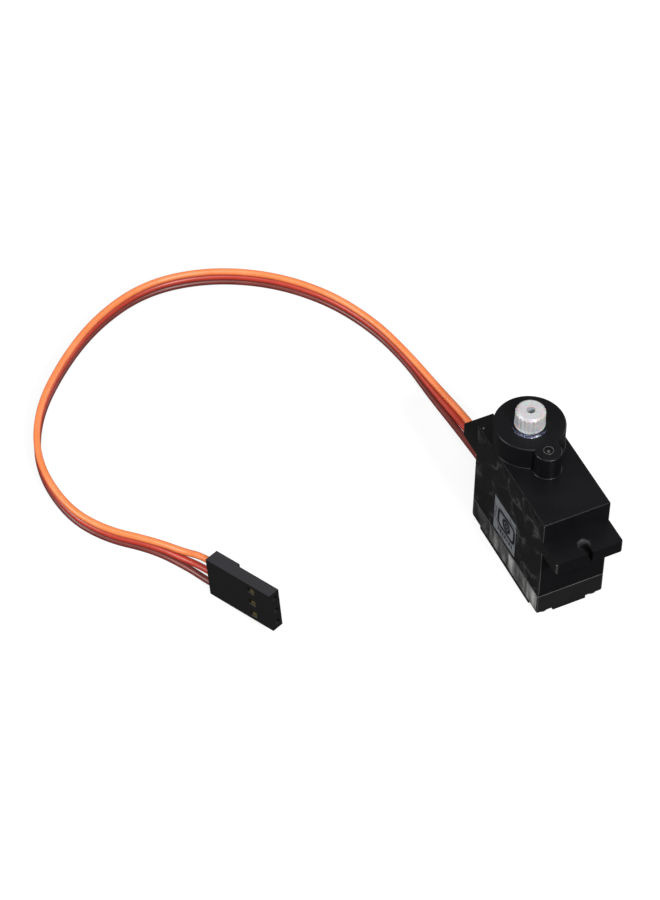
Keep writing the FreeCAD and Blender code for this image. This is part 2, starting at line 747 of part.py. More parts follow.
def motor_can():
    """The can, closed at its nose end, which the gear plate holds."""
    lid_low = "plate_low - can_wall"
    shell = joined(
        "can_outer",
        [
            rod("can_tube", "can_diameter / 2", "can_low", "plate_low", "motor_x"),
            rod("can_nose", "nose_diameter / 2", lid_low, "plate_low + nose_length", "motor_x"),
        ],
    )
    tools = [
        rod("can_room", "can_diameter / 2 - can_wall", "can_low - over", lid_low, "motor_x"),
        rod("can_bore", ROUND_SHAFT, "can_low", "plate_low + nose_length + over", "motor_x"),
    ]
    return cut("can", shell, tools)


def motor_end_cap():
    """The plastic cap with the lower bearing."""
    disc = rod("cap_disc", "can_diameter / 2 - cap_rim", "cap_low", "can_low", "motor_x")
    return cut("end_cap", disc, [rod("cap_bore", ROUND_SHAFT, "cap_low + cap_floor", "plate_low", "motor_x")])


def motor_terminals():
    """Two tabs from the end cap to the board."""
    tabs = [
        block(
            f"motor_tab_{i}", "tab_thick", "tab_width", "cap_low - board_top",
            x="motor_x", y=f"{side}tab_offset", z="board_top",
        )
        for i, side in enumerate(("", "-"), 1)
    ]
    return group("terminals", tabs)


def motor_magnets():
    """Two curved magnets inside the can."""
    inner = "can_diameter / 2 - can_wall"
    return cut(
        "magnet_ring",
        rod("magnet_outer", f"{inner} - fit_gap", MAGNET_LOW, f"{MAGNET_LOW} + magnet_length", "motor_x"),
        [
            rod("magnet_inner", f"{inner} - magnet_thick", "can_low", "plate_low", "motor_x"),
            block("magnet_parting", "magnet_split", "can_diameter", "can_length", x="motor_x", z="can_low"),
        ],
    )


def armature():
    """Three poles on the shaft; the slots between them stand for the windings' gaps."""
    slots = []
    for i in range(3):
        turn = 2 * math.pi * i / 3
        slot = rod(f"winding_slot_{i + 1}", "slot_diameter / 2", f"{POLE_LOW} - over", f"{POLE_HIGH} + over")
        reach = "(armature_diameter / 2 - slot_inset)"
        bind(slot, x=f"motor_x + {math.cos(turn):.6f} * {reach}", y=f"{math.sin(turn):.6f} * {reach}")
        slots.append(slot)
    bore = rod("armature_bore", ON_SHAFT, f"{POLE_LOW} - over", f"{POLE_HIGH} + over", "motor_x")
    poles = rod("poles", "armature_diameter / 2", POLE_LOW, POLE_HIGH, "motor_x")
    return cut("armature", poles, [*slots, bore])


def commutator():
    """The ring under the armature that the brushes run on."""
    low, high = "can_low + commutator_gap", f"{POLE_LOW} - commutator_gap / 2"
    segments = rod("segments", "commutator_diameter / 2", low, high, "motor_x")
    return cut("commutator", segments, [rod("segment_bore", ON_SHAFT, "can_low", POLE_LOW, "motor_x")])


def motor_shaft():
    """From the end cap's bearing to the top of the pinion."""
    low = "cap_low + cap_floor + shaft_play"
    return rod("shaft_rod", "motor_shaft / 2", low, "first_low + wheel_thick", "motor_x")


# ---------------------------------------------------------------- feedback potentiometer
ROUND_POT_SHAFT = "pot_shaft / 2 + running_gap"


def pot_body():
    """The round housing that hangs from the gear plate."""
    floor, roof = "pot_low + pot_wall", "plate_low - pot_wall"
    return cut(
        "pot",
        rod("pot_outer", "pot_diameter / 2", "pot_low", "plate_low", "output_x"),
        [
            rod("pot_room", "pot_diameter / 2 - pot_wall", floor, roof, "output_x"),
            rod("pot_bore", ROUND_POT_SHAFT, floor, "plate_low + over", "output_x"),
        ],
    )


def pot_track():
    """The printed track on the housing's floor."""
    low = "pot_low + pot_wall"
    radius = "pot_diameter / 2 - pot_wall - fit_gap"
    disc = rod("track_outer", radius, low, f"{low} + track_thick", "output_x")
    return cut("track", disc, [rod("track_bore", "pot_shaft", "pot_low", "plate_low", "output_x")])


def pot_shaft():
    """The shaft that the output gear turns."""
    return rod("pot_rod", "pot_shaft / 2", "wiper_low - layer_gap / 2", "pot_shaft_end", "output_x")


def pot_wiper():
    """The arm over the track, with an eye on the shaft."""
    whole = joined(
        "wiper_whole",
        [
            block("wiper_arm", "wiper_length", "wiper_width", "wiper_thick", x="output_x", z="wiper_low"),
            rod("wiper_eye", "pot_shaft", "wiper_low", "wiper_low + wiper_thick", "output_x"),
        ],
    )
    bore = rod("wiper_bore", "pot_shaft / 2 + fit_gap / 2", "pot_low", "plate_low", "output_x")
    return cut("wiper", whole, [bore])


TAB_X = "(output_x - pot_diameter / 2 + pot_tab_inset)"
TAB_LOW = "(pot_low - pot_tab_length)"


def pot_terminals():
    """Three tabs under the potentiometer."""
    tabs = [
        block(
            f"pot_tab_{i}", "pot_tab", "pot_tab", "pot_tab_length",
            x=TAB_X, y=f"{side} * pot_tab_pitch", z=TAB_LOW,
        )
        for i, side in enumerate((-1, 0, 1), 1)
    ]
    return group("pot_tabs", tabs)


def pot_hookup_wires():
    """Straight inner wires from the tabs to the board."""
    wires = [
        rod(f"pot_wire_{i}", "hookup_diameter / 2", "board_top", TAB_LOW, TAB_X, f"{side} * pot_tab_pitch")
        for i, side in enumerate((-1, 0, 1), 1)
    ]
    return group("pot_wires", wires)


# ---------------------------------------------------------------- board
def small_parts(name, thick, places):
    """Chips of one thickness under the board, at the places given."""
    chips = [
        block(f"{name}_{i}", "part_length", "part_width", thick, x=x, y=y, z=f"board_low - {thick}")
        for i, (x, y) in enumerate(places, 1)
    ]
    return group(name + "s", chips)


def board():
    """The control board on its ledges, with the parts that it carries."""
    node("circuit_board", block("board", "board_length", "board_width", "board_thick", z="board_low"))
    node(
        "driver_chip",
        block("chip", "chip_size", "chip_size", "chip_thick", x="chip_x", z="board_low - chip_thick"),
    )
    capacitors = [("part_mid", "part_row"), ("part_mid", "-part_row"), ("part_near", "part_row")]
    node("board_capacitors", small_parts("capacitor", "capacitor_thick", capacitors))
    resistors = [
        ("part_near", "-part_row"),
        ("part_far", "part_row / 3"),
        ("part_far", "-part_row / 3"),
        ("part_near", "0"),
    ]
    node("board_resistors", small_parts("resistor", "resistor_thick", resistors))
    tank = rod("tank_can", "tank_diameter / 2", "board_top", "board_top + tank_height", "tank_x")
    node("board_tank_capacitor", tank)


# ---------------------------------------------------------------- lead
# The route of the ribbon's middle, with the turn of the ribbon in degrees: 0 is flat, 90 is on edge.
ROUTE = [
    ((8.0, 0.0, 5.45), 0),
    ((14.0, 0.0, 5.40), 0),
    ((21.0, -0.5, 3.70), 15),
    ((29.0, -0.6, 2.35), 42),
    ((37.5, 0.2, 1.88), 68),
    ((46.0, 0.9, 1.88), 88),
    ((55.4, 2.8, 1.88), 90),
    ((65.0, 7.2, 1.88), 90),
    ((73.2, 14.6, 1.88), 90),
    ((78.6, 24.5, 1.88), 90),
    ((80.0, 35.2, 1.88), 90),
    ((76.3, 45.6, 1.88), 90),
    ((69.4, 54.9, 1.88), 90),
    ((60.4, 63.2, 1.88), 90),
    ((50.0, 67.4, 1.88), 90),
    ((39.0, 66.8, 1.88), 90),
    ((31.8, 63.0, 1.88), 90),
    ((26.2, 56.6, 1.90), 90),
]
# Where the wires spread, in the plug's own frame: distance along it, height of the middle wire, wire pitch.
SPREAD = (-5.6, 3.3, 1.75)
# From this distance along the plug they run straight into it.
STRAIGHT_FROM = -2.2
SETBACK = 0.45  # share of the shorter run that each bend takes
PLUG_REAR = Vector(14.96, 50.53, 0)
PLUG_YAW = -157.2
PLUG_PITCH = -8.8
PLUG_ROLL = -2.0
FLOOR_CLEAR = 0.03


def plug_place():
    """The plug stands on the lower corner of its wire end; the stiff wires hold its mating end up."""
    lift = value("plug_thick") / 2 * math.sin(math.radians(abs(PLUG_ROLL))) + FLOOR_CLEAR
    turn = (
        Rotation(Vector(0, 0, 1), PLUG_YAW)
        * Rotation(Vector(0, 1, 0), PLUG_PITCH)
        * Rotation(Vector(1, 0, 0), PLUG_ROLL)
    )
    return Placement(PLUG_REAR + Vector(0, 0, lift), turn)


def wire_points(index):
    """One wire's corner points; index is 1 for orange, 0 for red and -1 for brown."""
    pitch = value("wire_pitch")
    points = []
    for centre, twist in ROUTE:
        angle = math.radians(twist)
        shift = Vector(0, -index * pitch * math.cos(angle), index * pitch * math.sin(angle))
        points.append(Vector(*centre) + shift)
    place = plug_place()
    centre_y = (value("plug_front_thick") - value("plug_thick")) / 2
    middle, spread = value("plug_height / 2"), value("contact_pitch")
    fan_out = (SPREAD, (STRAIGHT_FROM, middle, spread), (value("contact_inset"), middle, spread))
    for along, height, apart in fan_out:
        points.append(place.multVec(Vector(along, centre_y, height + index * apart)))
    return points


def wire(name, index):
    """A wire's tube along straight runs joined by tangent arcs; prints its length and its arc radii."""
    points = wire_points(index)
    radius = value("wire_diameter / 2")
    edges, radii, start = [], [], points[0]
    for before, corner, after in zip(points, points[1:], points[2:]):
        into, out = (corner - before), (after - corner)
        setback = SETBACK * min(into.Length, out.Length)
        half_turn = into.getAngle(out) / 2
        radii.append(setback / math.tan(half_turn))
        into.normalize()
        out.normalize()
        first, last = corner - into * setback, corner + out * setback
        bulge = radii[-1] * (1 / math.cos(half_turn) - 1)
        middle = corner + (out - into).normalize() * bulge
        edges.append(Part.LineSegment(start, first).toShape())
        edges.append(Part.Arc(first, middle, last).toShape())
        start = last
    edges.append(Part.LineSegment(start, points[-1]).toShape())
    path = Part.Wire(edges)
    profile = Part.Wire([Part.makeCircle(radius, points[0], (points[1] - points[0]).normalize())])
    tube = path.makePipeShell([profile], True, False)
    print(f"{name}: length {path.Length:.1f}, lowest {tube.optimalBoundingBox().ZMin:.3f}")
    print("  radii " + " ".join(f"{r:.1f}" for r in radii))
    return feature(name + "_tube", tube)


def local(name, length, width, height, x, y, z):
    """A box in the plug's own frame, given by its lowest corner."""
    item = doc.addObject("Part::Box", name)
    return bind(item, Length=length, Width=width, Height=height, x=x, y=y, z=z)


def along_plug(name, start, end, width, height, index):
    """A box along one contact's axis; index is -1, 0 or 1."""
    middle_y = "(plug_front_thick / 2 - plug_thick / 2)"
    middle_z = f"(plug_height / 2 + ({index}) * contact_pitch)"
    return local(
        name, f"({end}) - ({start})", width, height, start,
        f"{middle_y} - ({width}) / 2", f"{middle_z} - ({height}) / 2",
    )


def plug_contact(i, index):
    """One crimp contact: a square sleeve that fills its cavity."""
    size, end = "contact_size - 2 * fit_gap", "plug_length - plug_end_wall - fit_gap"
    sleeve = along_plug(f"contact_{i}", "contact_inset", end, size, size, index)
    bore = along_plug(f"contact_bore_{i}", "2 * contact_inset", "plug_length", "pin_hole", "pin_hole", index)
    return cut(f"contact_sleeve_{i}", sleeve, [bore])


def plug():
    """The plug's housing and its three crimp contacts, in the plug's own frame along +X."""
    near = "-plug_thick / 2"
    shell = joined(
        "plug_outer",
        [
            local("plug_wire_end", "plug_step", "plug_thick", "plug_height", "0", near, "0"),
            local("plug_front", "plug_length", "plug_front_thick", "plug_height", "0", near, "0"),
        ],
    )
    tools, contacts = [], []
    for i, index in enumerate((-1, 0, 1), 1):
        cavity_end, past = "plug_length - plug_end_wall", "plug_length + over"
        tools.append(along_plug(f"cavity_{i}", "-over", cavity_end, "contact_size", "contact_size", index))
        tools.append(along_plug(f"pin_way_{i}", f"{cavity_end} - over", past, "pin_hole", "pin_hole", index))
        tools.append(
            local(
                f"window_{i}", "window_length", "plug_front_thick / 2", "window_height",
                "plug_length - window_inset", f"{near} - fit_gap",
                f"plug_height / 2 + ({index}) * contact_pitch - window_height / 2",
            )
        )
        contacts.append(plug_contact(i, index))
    body = cut("plug_body", shell, tools)
    pins = group("plug_contacts", contacts)
    place = plug_place()
    for item in (body, pins):
        item.Placement = place
    node("connector_housing", body)
    node("connector_contacts", pins)


# ---------------------------------------------------------------- the whole servo
node("top_cover", top_cover())
node("middle_case", middle_case())
node("bottom_cover", bottom_cover())
node("case_screws", case_screws())
node("side_label", label())
node("idler_pin", idler_pin())
node("motor_can", motor_can())
node("motor_end_cap", motor_end_cap())
node("motor_terminals", motor_terminals())
node("motor_magnets", motor_magnets())
node("motor_shaft", motor_shaft())
node("motor_armature", armature())
node("motor_commutator", commutator())
node("motor_pinion", motor_pinion())
node("gear_1", first_gear())
node("gear_2", second_gear())
node("gear_3", third_gear())
node("output_gear", output_gear())
node("pot_body", pot_body())
node("pot_track", pot_track())
node("pot_shaft", pot_shaft())
node("pot_wiper", pot_wiper())
node("pot_terminals", pot_terminals())
node("pot_hookup_wires", pot_hookup_wires())
board()
node("wire_orange", wire("wire_orange", 1))
node("wire_red", wire("wire_red", 0))
node("wire_brown", wire("wire_brown", -1))
plug()

doc.recompute()
for item in doc.Objects:
    if "Invalid" in item.State or "Error" in item.State:
        raise RuntimeError(f"{item.Name} failed: {item.State}")
for name, item in NODES.items():
    if item.Shape.isNull() or not item.Shape.isValid():
        raise RuntimeError(f"{name} has no valid shape")
os.makedirs("parts", exist_ok=True)
for name, item in NODES.items():
    item.Shape.exportStep(f"parts/{name}.step")
    box = item.Shape.BoundBox
    count, size = len(item.Shape.Solids), item.Shape.Volume
    print(f"{name}: {count} solids, {size:.2f} mm3, z {box.ZMin:.2f} to {box.ZMax:.2f}")
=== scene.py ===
"""Looks of the micro servo motor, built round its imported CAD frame. Metres, in the CAD's frame."""
import json
import math

import bpy
from mathutils import Matrix, Vector, noise


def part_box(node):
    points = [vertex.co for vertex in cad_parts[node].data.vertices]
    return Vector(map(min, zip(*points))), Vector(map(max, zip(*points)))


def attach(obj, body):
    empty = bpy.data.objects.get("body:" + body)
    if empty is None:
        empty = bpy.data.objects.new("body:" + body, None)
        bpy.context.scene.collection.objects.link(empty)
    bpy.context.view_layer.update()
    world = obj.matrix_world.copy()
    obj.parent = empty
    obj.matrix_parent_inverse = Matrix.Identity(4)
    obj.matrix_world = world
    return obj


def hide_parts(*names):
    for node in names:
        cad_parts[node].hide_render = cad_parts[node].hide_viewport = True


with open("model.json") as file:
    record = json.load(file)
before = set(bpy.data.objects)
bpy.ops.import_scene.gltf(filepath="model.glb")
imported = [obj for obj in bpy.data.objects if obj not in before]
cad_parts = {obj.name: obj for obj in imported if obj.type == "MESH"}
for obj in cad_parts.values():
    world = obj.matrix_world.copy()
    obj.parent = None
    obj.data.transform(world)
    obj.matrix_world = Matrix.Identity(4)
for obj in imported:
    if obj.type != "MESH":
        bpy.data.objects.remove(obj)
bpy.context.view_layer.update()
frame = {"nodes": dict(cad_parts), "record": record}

MM = 0.001
nodes = frame["nodes"]


# ---------------------------------------------------------------- the lead's route, as in the CAD, in mm
# Each point is the middle of the ribbon and its twist in degrees: 0 is flat and 90 is on edge.
ROUTE = [
    ((8.0, 0.0, 5.45), 0),
    ((14.0, 0.0, 5.40), 0),
    ((21.0, -0.5, 3.70), 15),
    ((29.0, -0.6, 2.35), 42),
    ((37.5, 0.2, 1.88), 68),
    ((46.0, 0.9, 1.88), 88),
    ((55.4, 2.8, 1.88), 90),
    ((65.0, 7.2, 1.88), 90),
    ((73.2, 14.6, 1.88), 90),
    ((78.6, 24.5, 1.88), 90),
    ((80.0, 35.2, 1.88), 90),
    ((76.3, 45.6, 1.88), 90),
    ((69.4, 54.9, 1.88), 90),
    ((60.4, 63.2, 1.88), 90),
    ((50.0, 67.4, 1.88), 90),
    ((39.0, 66.8, 1.88), 90),
    ((31.8, 63.0, 1.88), 90),
    ((26.2, 56.6, 1.90), 90),
]
WIRE_DIAMETER = 1.15
WIRE_PITCH = 1.22
EXIT_X = 11.5

# Where the wires fan out behind the plug: along the plug, up it, and the space from one wire to the next.
SPREAD = (-5.6, 3.3, 1.75)
STRAIGHT_FROM = -2.2
CONTACT_INSET = 1.0
CONTACT_PITCH = 2.54

PLUG_HEIGHT = 3 * CONTACT_PITCH
PLUG_THICK = 2.57
PLUG_FRONT_THICK = 2.13
PLUG_REAR = Vector((14.96, 50.53, 0.0748))
PLUG_YAW, PLUG_TILT, PLUG_LEAN = -157.2, -8.8, -2.0
PLUG_TURN = (
    Matrix.Rotation(math.radians(PLUG_YAW), 3, "Z")
    @ Matrix.Rotation(math.radians(PLUG_TILT), 3, "Y")
    @ Matrix.Rotation(math.radians(PLUG_LEAN), 3, "X")
)

# From here on sizes are in metres. The three wires differ in length by 0.4 mm.
CASE_REAR_X = EXIT_X * MM
CASE_FRONT_X = -CASE_REAR_X


def wire_points(index):
    """One wire's control points in mm; index is 1 for orange, 0 for red and -1 for brown."""
    points = []
    for centre, twist in ROUTE:
        angle = math.radians(twist)
        shift = Vector((0, -index * WIRE_PITCH * math.cos(angle), index * WIRE_PITCH * math.sin(angle)))
        points.append(Vector(centre) + shift)
    centre_y = (PLUG_FRONT_THICK - PLUG_THICK) / 2
    fan_out = (
        SPREAD,
        (STRAIGHT_FROM, PLUG_HEIGHT / 2, CONTACT_PITCH),
        (CONTACT_INSET, PLUG_HEIGHT / 2, CONTACT_PITCH),
    )
    for along, height, apart in fan_out:
        points.append(PLUG_REAR + PLUG_TURN @ Vector((along, centre_y, height + index * apart)))
    return points


# ---------------------------------------------------------------- materials
GRAIN_DEPTH = 0.00004
FILM_DEPTH = 0.0002
BLACK, WHITE = (0, 0, 0), (1, 1, 1)


class Nodes:
    """A short way to write a procedural material."""

    def __init__(self, name):
        self.material = bpy.data.materials.new(name)
        self.material.use_nodes = True
        self.tree = self.material.node_tree
        self.shader = next(n for n in self.tree.nodes if n.type == "BSDF_PRINCIPLED")
        self.coord = self.add("ShaderNodeTexCoord")

    def add(self, kind, **values):
        node = self.tree.nodes.new(kind)
        for key, value in values.items():
            if hasattr(node, key):
                setattr(node, key, value)
            else:
                node.inputs[key.replace("_", " ")].default_value = value
        return node

    def link(self, a, b):
        self.tree.links.new(a, b)

    def set(self, **values):
        for key, value in values.items():
            self.shader.inputs[key.replace("_", " ")].default_value = value

    def mapped(self, scale):
        mapping = self.add("ShaderNodeMapping")
        mapping.inputs["Scale"].default_value = scale
        self.link(self.coord.outputs["Object"], mapping.inputs["Vector"])
        return mapping.outputs["Vector"]

    def noise(self, scale, detail=3.0, roughness=0.55, distortion=0.0, stretch=(1, 1, 1)):
        node = self.add("ShaderNodeTexNoise")
        node.inputs["Scale"].default_value = scale
        node.inputs["Detail"].default_value = detail
        node.inputs["Roughness"].default_value = roughness
        node.inputs["Distortion"].default_value = distortion
        self.link(self.mapped(stretch), node.inputs["Vector"])
        return node.outputs["Fac"]

    def ramp(self, source, stops):
        node = self.add("ShaderNodeValToRGB")
        ramp = node.color_ramp
        while len(ramp.elements) < len(stops):
            ramp.elements.new(0.5)
        for element, (place, colour) in zip(ramp.elements, stops):
            element.position = place
            element.color = (*colour, 1.0)
        self.link(source, node.inputs["Fac"])
        return node.outputs["Color"]

    def span(self, source, low, high):
        node = self.add("ShaderNodeMapRange")
        node.inputs["To Min"].default_value = low
        node.inputs["To Max"].default_value = high
        self.link(source, node.inputs["Value"])
        return node.outputs["Result"]

    def cracks(self, scale, wander=0.0022):
        """Distance to the nearest of many crossing creases, which wander by about this many metres."""
        bend = self.add("ShaderNodeVectorMath", operation="ADD")
        wobble = self.add("ShaderNodeTexNoise")
        wobble.inputs["Scale"].default_value = scale * 2
        shrink = self.add("ShaderNodeVectorMath", operation="SCALE")
        shrink.inputs["Scale"].default_value = wander
        self.link(self.coord.outputs["Object"], wobble.inputs["Vector"])
        self.link(wobble.outputs["Color"], shrink.inputs[0])
        self.link(self.coord.outputs["Object"], bend.inputs[0])
        self.link(shrink.outputs["Vector"], bend.inputs[1])
        node = self.add("ShaderNodeTexVoronoi", feature="DISTANCE_TO_EDGE")
        node.inputs["Scale"].default_value = scale
        self.link(bend.outputs["Vector"], node.inputs["Vector"])
        return node.outputs["Distance"]

    def times(self, a, b):
        node = self.add("ShaderNodeMath", operation="MULTIPLY")
        self.link(a, node.inputs[0])
        self.link(b, node.inputs[1])
        return node.outputs["Value"]

    def along_x(self, start, end, low, high):
        """A value that goes from low to high as the object's x goes from start to end."""
        split = self.add("ShaderNodeSeparateXYZ")
        self.link(self.coord.outputs["Object"], split.inputs["Vector"])
        node = self.add("ShaderNodeMapRange")
        node.inputs["From Min"].default_value = start
        node.inputs["From Max"].default_value = end
        node.inputs["To Min"].default_value = low
        node.inputs["To Max"].default_value = high
        self.link(split.outputs["X"], node.inputs["Value"])
        return node.outputs["Result"]

    def bump(self, heights, distance):
        """Bump from one or more (height, strength) pairs."""
        normal = None
        for height, strength in heights:
            node = self.add("ShaderNodeBump")
            node.inputs["Strength"].default_value = strength
            node.inputs["Distance"].default_value = distance
            self.link(height, node.inputs["Height"])
            if normal is not None:
                self.link(normal, node.inputs["Normal"])
            normal = node.outputs["Normal"]
        self.link(normal, self.shader.inputs["Normal"])


def plastic(name, dark, light, rough=(0.35, 0.5), grain=0.15, specular=0.5, scale=1.0):
    """Moulded plastic: faint colour drift, uneven gloss and a fine moulded grain."""
    m = Nodes(name)
    drift = m.noise(180 * scale, 4)
    m.link(m.ramp(drift, [(0.3, dark), (0.7, light)]), m.shader.inputs["Base Color"])
    m.link(m.span(m.noise(420 * scale, 3), *rough), m.shader.inputs["Roughness"])
    m.bump([(m.noise(9000 * scale, 2), grain), (m.noise(600 * scale, 2), grain * 0.6)], GRAIN_DEPTH)
    m.set(Specular_IOR_Level=specular)
    return m.material


def dust_and_top_light_plastic(name, dark, dust_and_top_light):
    """Matt black plastic painted lighter grey on the faces that look up: painted top light, with some dust.
    """
    m = Nodes(name)
    split = m.add("ShaderNodeSeparateXYZ")
    m.link(m.add("ShaderNodeNewGeometry").outputs["Normal"], split.inputs["Vector"])
    # Painted light: faces that look up are made lighter grey to stand for the light falling on top, with
    # some dust.
    top_light_and_dust = m.times(split.outputs["Z"], m.span(m.noise(600, 4), 0.85, 1.15))
    m.link(m.ramp(top_light_and_dust, [(0.55, dark), (0.95, dust_and_top_light)]), m.shader.inputs["Base Color"])
    m.link(m.span(m.noise(500, 3), 0.42, 0.6), m.shader.inputs["Roughness"])
    m.bump([(m.noise(6000, 2), 0.12), (m.noise(500, 2), 0.25)], GRAIN_DEPTH)
    m.set(Specular_IOR_Level=0.35)
    return m.material


def metal(name, colour, rough=(0.25, 0.4), stretch=(1, 1, 0.1)):
    """Metal with fine turning or drawing marks."""
    m = Nodes(name)
    streak = m.noise(5000, 2, stretch=stretch)
    darker = tuple(c * 0.8 for c in colour)
    m.link(m.ramp(m.noise(900, 3), [(0.3, darker), (0.75, colour)]), m.shader.inputs["Base Color"])
    m.link(m.span(streak, *rough), m.shader.inputs["Roughness"])
    m.bump([(streak, 0.12)], GRAIN_DEPTH / 2)
    m.set(Metallic=1.0)
    return m.material


def nylon():
    """Natural white nylon: milky, soft gloss, a little light passing under the surface."""
    m = Nodes("nylon_white")
    shades = [(0.3, (0.39, 0.39, 0.4)), (0.7, (0.45, 0.45, 0.46))]
    m.link(m.ramp(m.noise(500, 3), shades), m.shader.inputs["Base Color"])
    m.link(m.span(m.noise(900, 2), 0.34, 0.5), m.shader.inputs["Roughness"])
    m.bump([(m.noise(2600, 2), 0.12)], GRAIN_DEPTH)
    m.set(Subsurface_Weight=0.7, Subsurface_Scale=0.0012)
    return m.material


def insulation(name, dark, light):
    """PVC wire insulation: smooth, semi-gloss, with scuffs and slight unevenness."""
    m = Nodes(name)
    m.link(m.ramp(m.noise(260, 4), [(0.3, dark), (0.7, light)]), m.shader.inputs["Base Color"])
    m.link(m.span(m.noise(700, 3), 0.3, 0.5), m.shader.inputs["Roughness"])
    m.bump([(m.noise(1500, 3), 0.15), (m.noise(350, 2), 0.25)], GRAIN_DEPTH)
    m.set(Subsurface_Weight=0.08, Subsurface_Scale=0.0005)
    return m.material


def grease_material():
    """Grease, wet, dark and slightly blue, with near-white specks that are painted glints."""
    m = Nodes("grease")
    # The near-white stop makes specks that are painted glints; the dark blues are the grease's own colour.
    shades = [(0.42, (0.01, 0.011, 0.026)), (0.56, (0.05, 0.06, 0.12)), (0.68, (0.5, 0.53, 0.6))]
    m.link(m.ramp(m.noise(1500, 2), shades), m.shader.inputs["Base Color"])
    m.link(m.span(m.noise(1200, 2), 0.08, 0.25), m.shader.inputs["Roughness"])
    m.bump([(m.noise(1400, 2), 0.35)], GRAIN_DEPTH * 2)
    m.set(Specular_IOR_Level=0.8, Subsurface_Weight=0.3, Subsurface_Scale=0.0003)
    return m.material


def clear_film_plastic():
    """Clear adhesive film: see-through and glossy, with a few grey creases where it has lifted; their grey
    is partly haze and partly painted reflection.
    """
    m = Nodes("clear_film")
    crease = m.cracks(240)
    patches = m.ramp(m.noise(170, 3), [(0.44, (0.04, 0.04, 0.04)), (0.6, WHITE)])
    fading = [(0.0, WHITE), (0.025, (0.55, 0.55, 0.55)), (0.07, (0.12, 0.12, 0.12)), (0.16, BLACK)]
    crease_haze_and_reflection = m.ramp(crease, fading)
    # Grey base colour shown along the creases: partly haze, partly painted reflection.
    m.link(m.ramp(m.noise(700, 3), [(0.3, (0.05,) * 3), (0.7, (0.11,) * 3)]), m.shader.inputs["Base Color"])
    m.link(m.span(m.noise(500, 3), 0.08, 0.25), m.shader.inputs["Roughness"])
    m.link(m.span(m.times(crease_haze_and_reflection, patches), 0.01, 0.8), m.shader.inputs["Alpha"])
    m.bump([(crease, 0.5)], FILM_DEPTH)
    m.set(Specular_IOR_Level=0.5)
    return m.material


def painted_reflection_film_plastic():
    """The film's lower edge on the bottom cover: upright grey streaks, stronger towards the front end, which
    are painted reflections of the floor.
    """
    m = Nodes("painted_reflection_film")
    streak = m.noise(420, 4, distortion=0.4, stretch=(1, 1, 0.22))
    reflection_bands = m.ramp(streak, [(0.36, BLACK), (0.5, (0.35, 0.35, 0.35)), (0.66, WHITE)])
    shades = [(0.3, (0.3, 0.3, 0.295)), (0.7, (0.75, 0.75, 0.74))]
    m.link(m.ramp(m.noise(300, 3), shades), m.shader.inputs["Base Color"])
    m.link(m.span(m.noise(500, 3), 0.08, 0.22), m.shader.inputs["Roughness"])
    # Painted reflection: the grey streaks show more towards the front end.
    m.link(m.times(reflection_bands, m.along_x(CASE_REAR_X, CASE_FRONT_X, 0.2, 0.9)), m.shader.inputs["Alpha"])
    m.bump([(streak, 0.4)], FILM_DEPTH)
    m.set(Specular_IOR_Level=0.8)
    return m.material


def foil():
    """Silver-grey printed foil."""
    m = Nodes("label_foil")
    shades = [(0.3, (0.2, 0.215, 0.235)), (0.7, (0.28, 0.295, 0.32))]
    m.link(m.ramp(m.noise(700, 3), shades), m.shader.inputs["Base Color"])
    m.link(m.span(m.noise(900, 3), 0.3, 0.45), m.shader.inputs["Roughness"])
    m.bump([(m.noise(200, 2), 0.25)], FILM_DEPTH / 2)
    m.set(Metallic=0.3)
    return m.material


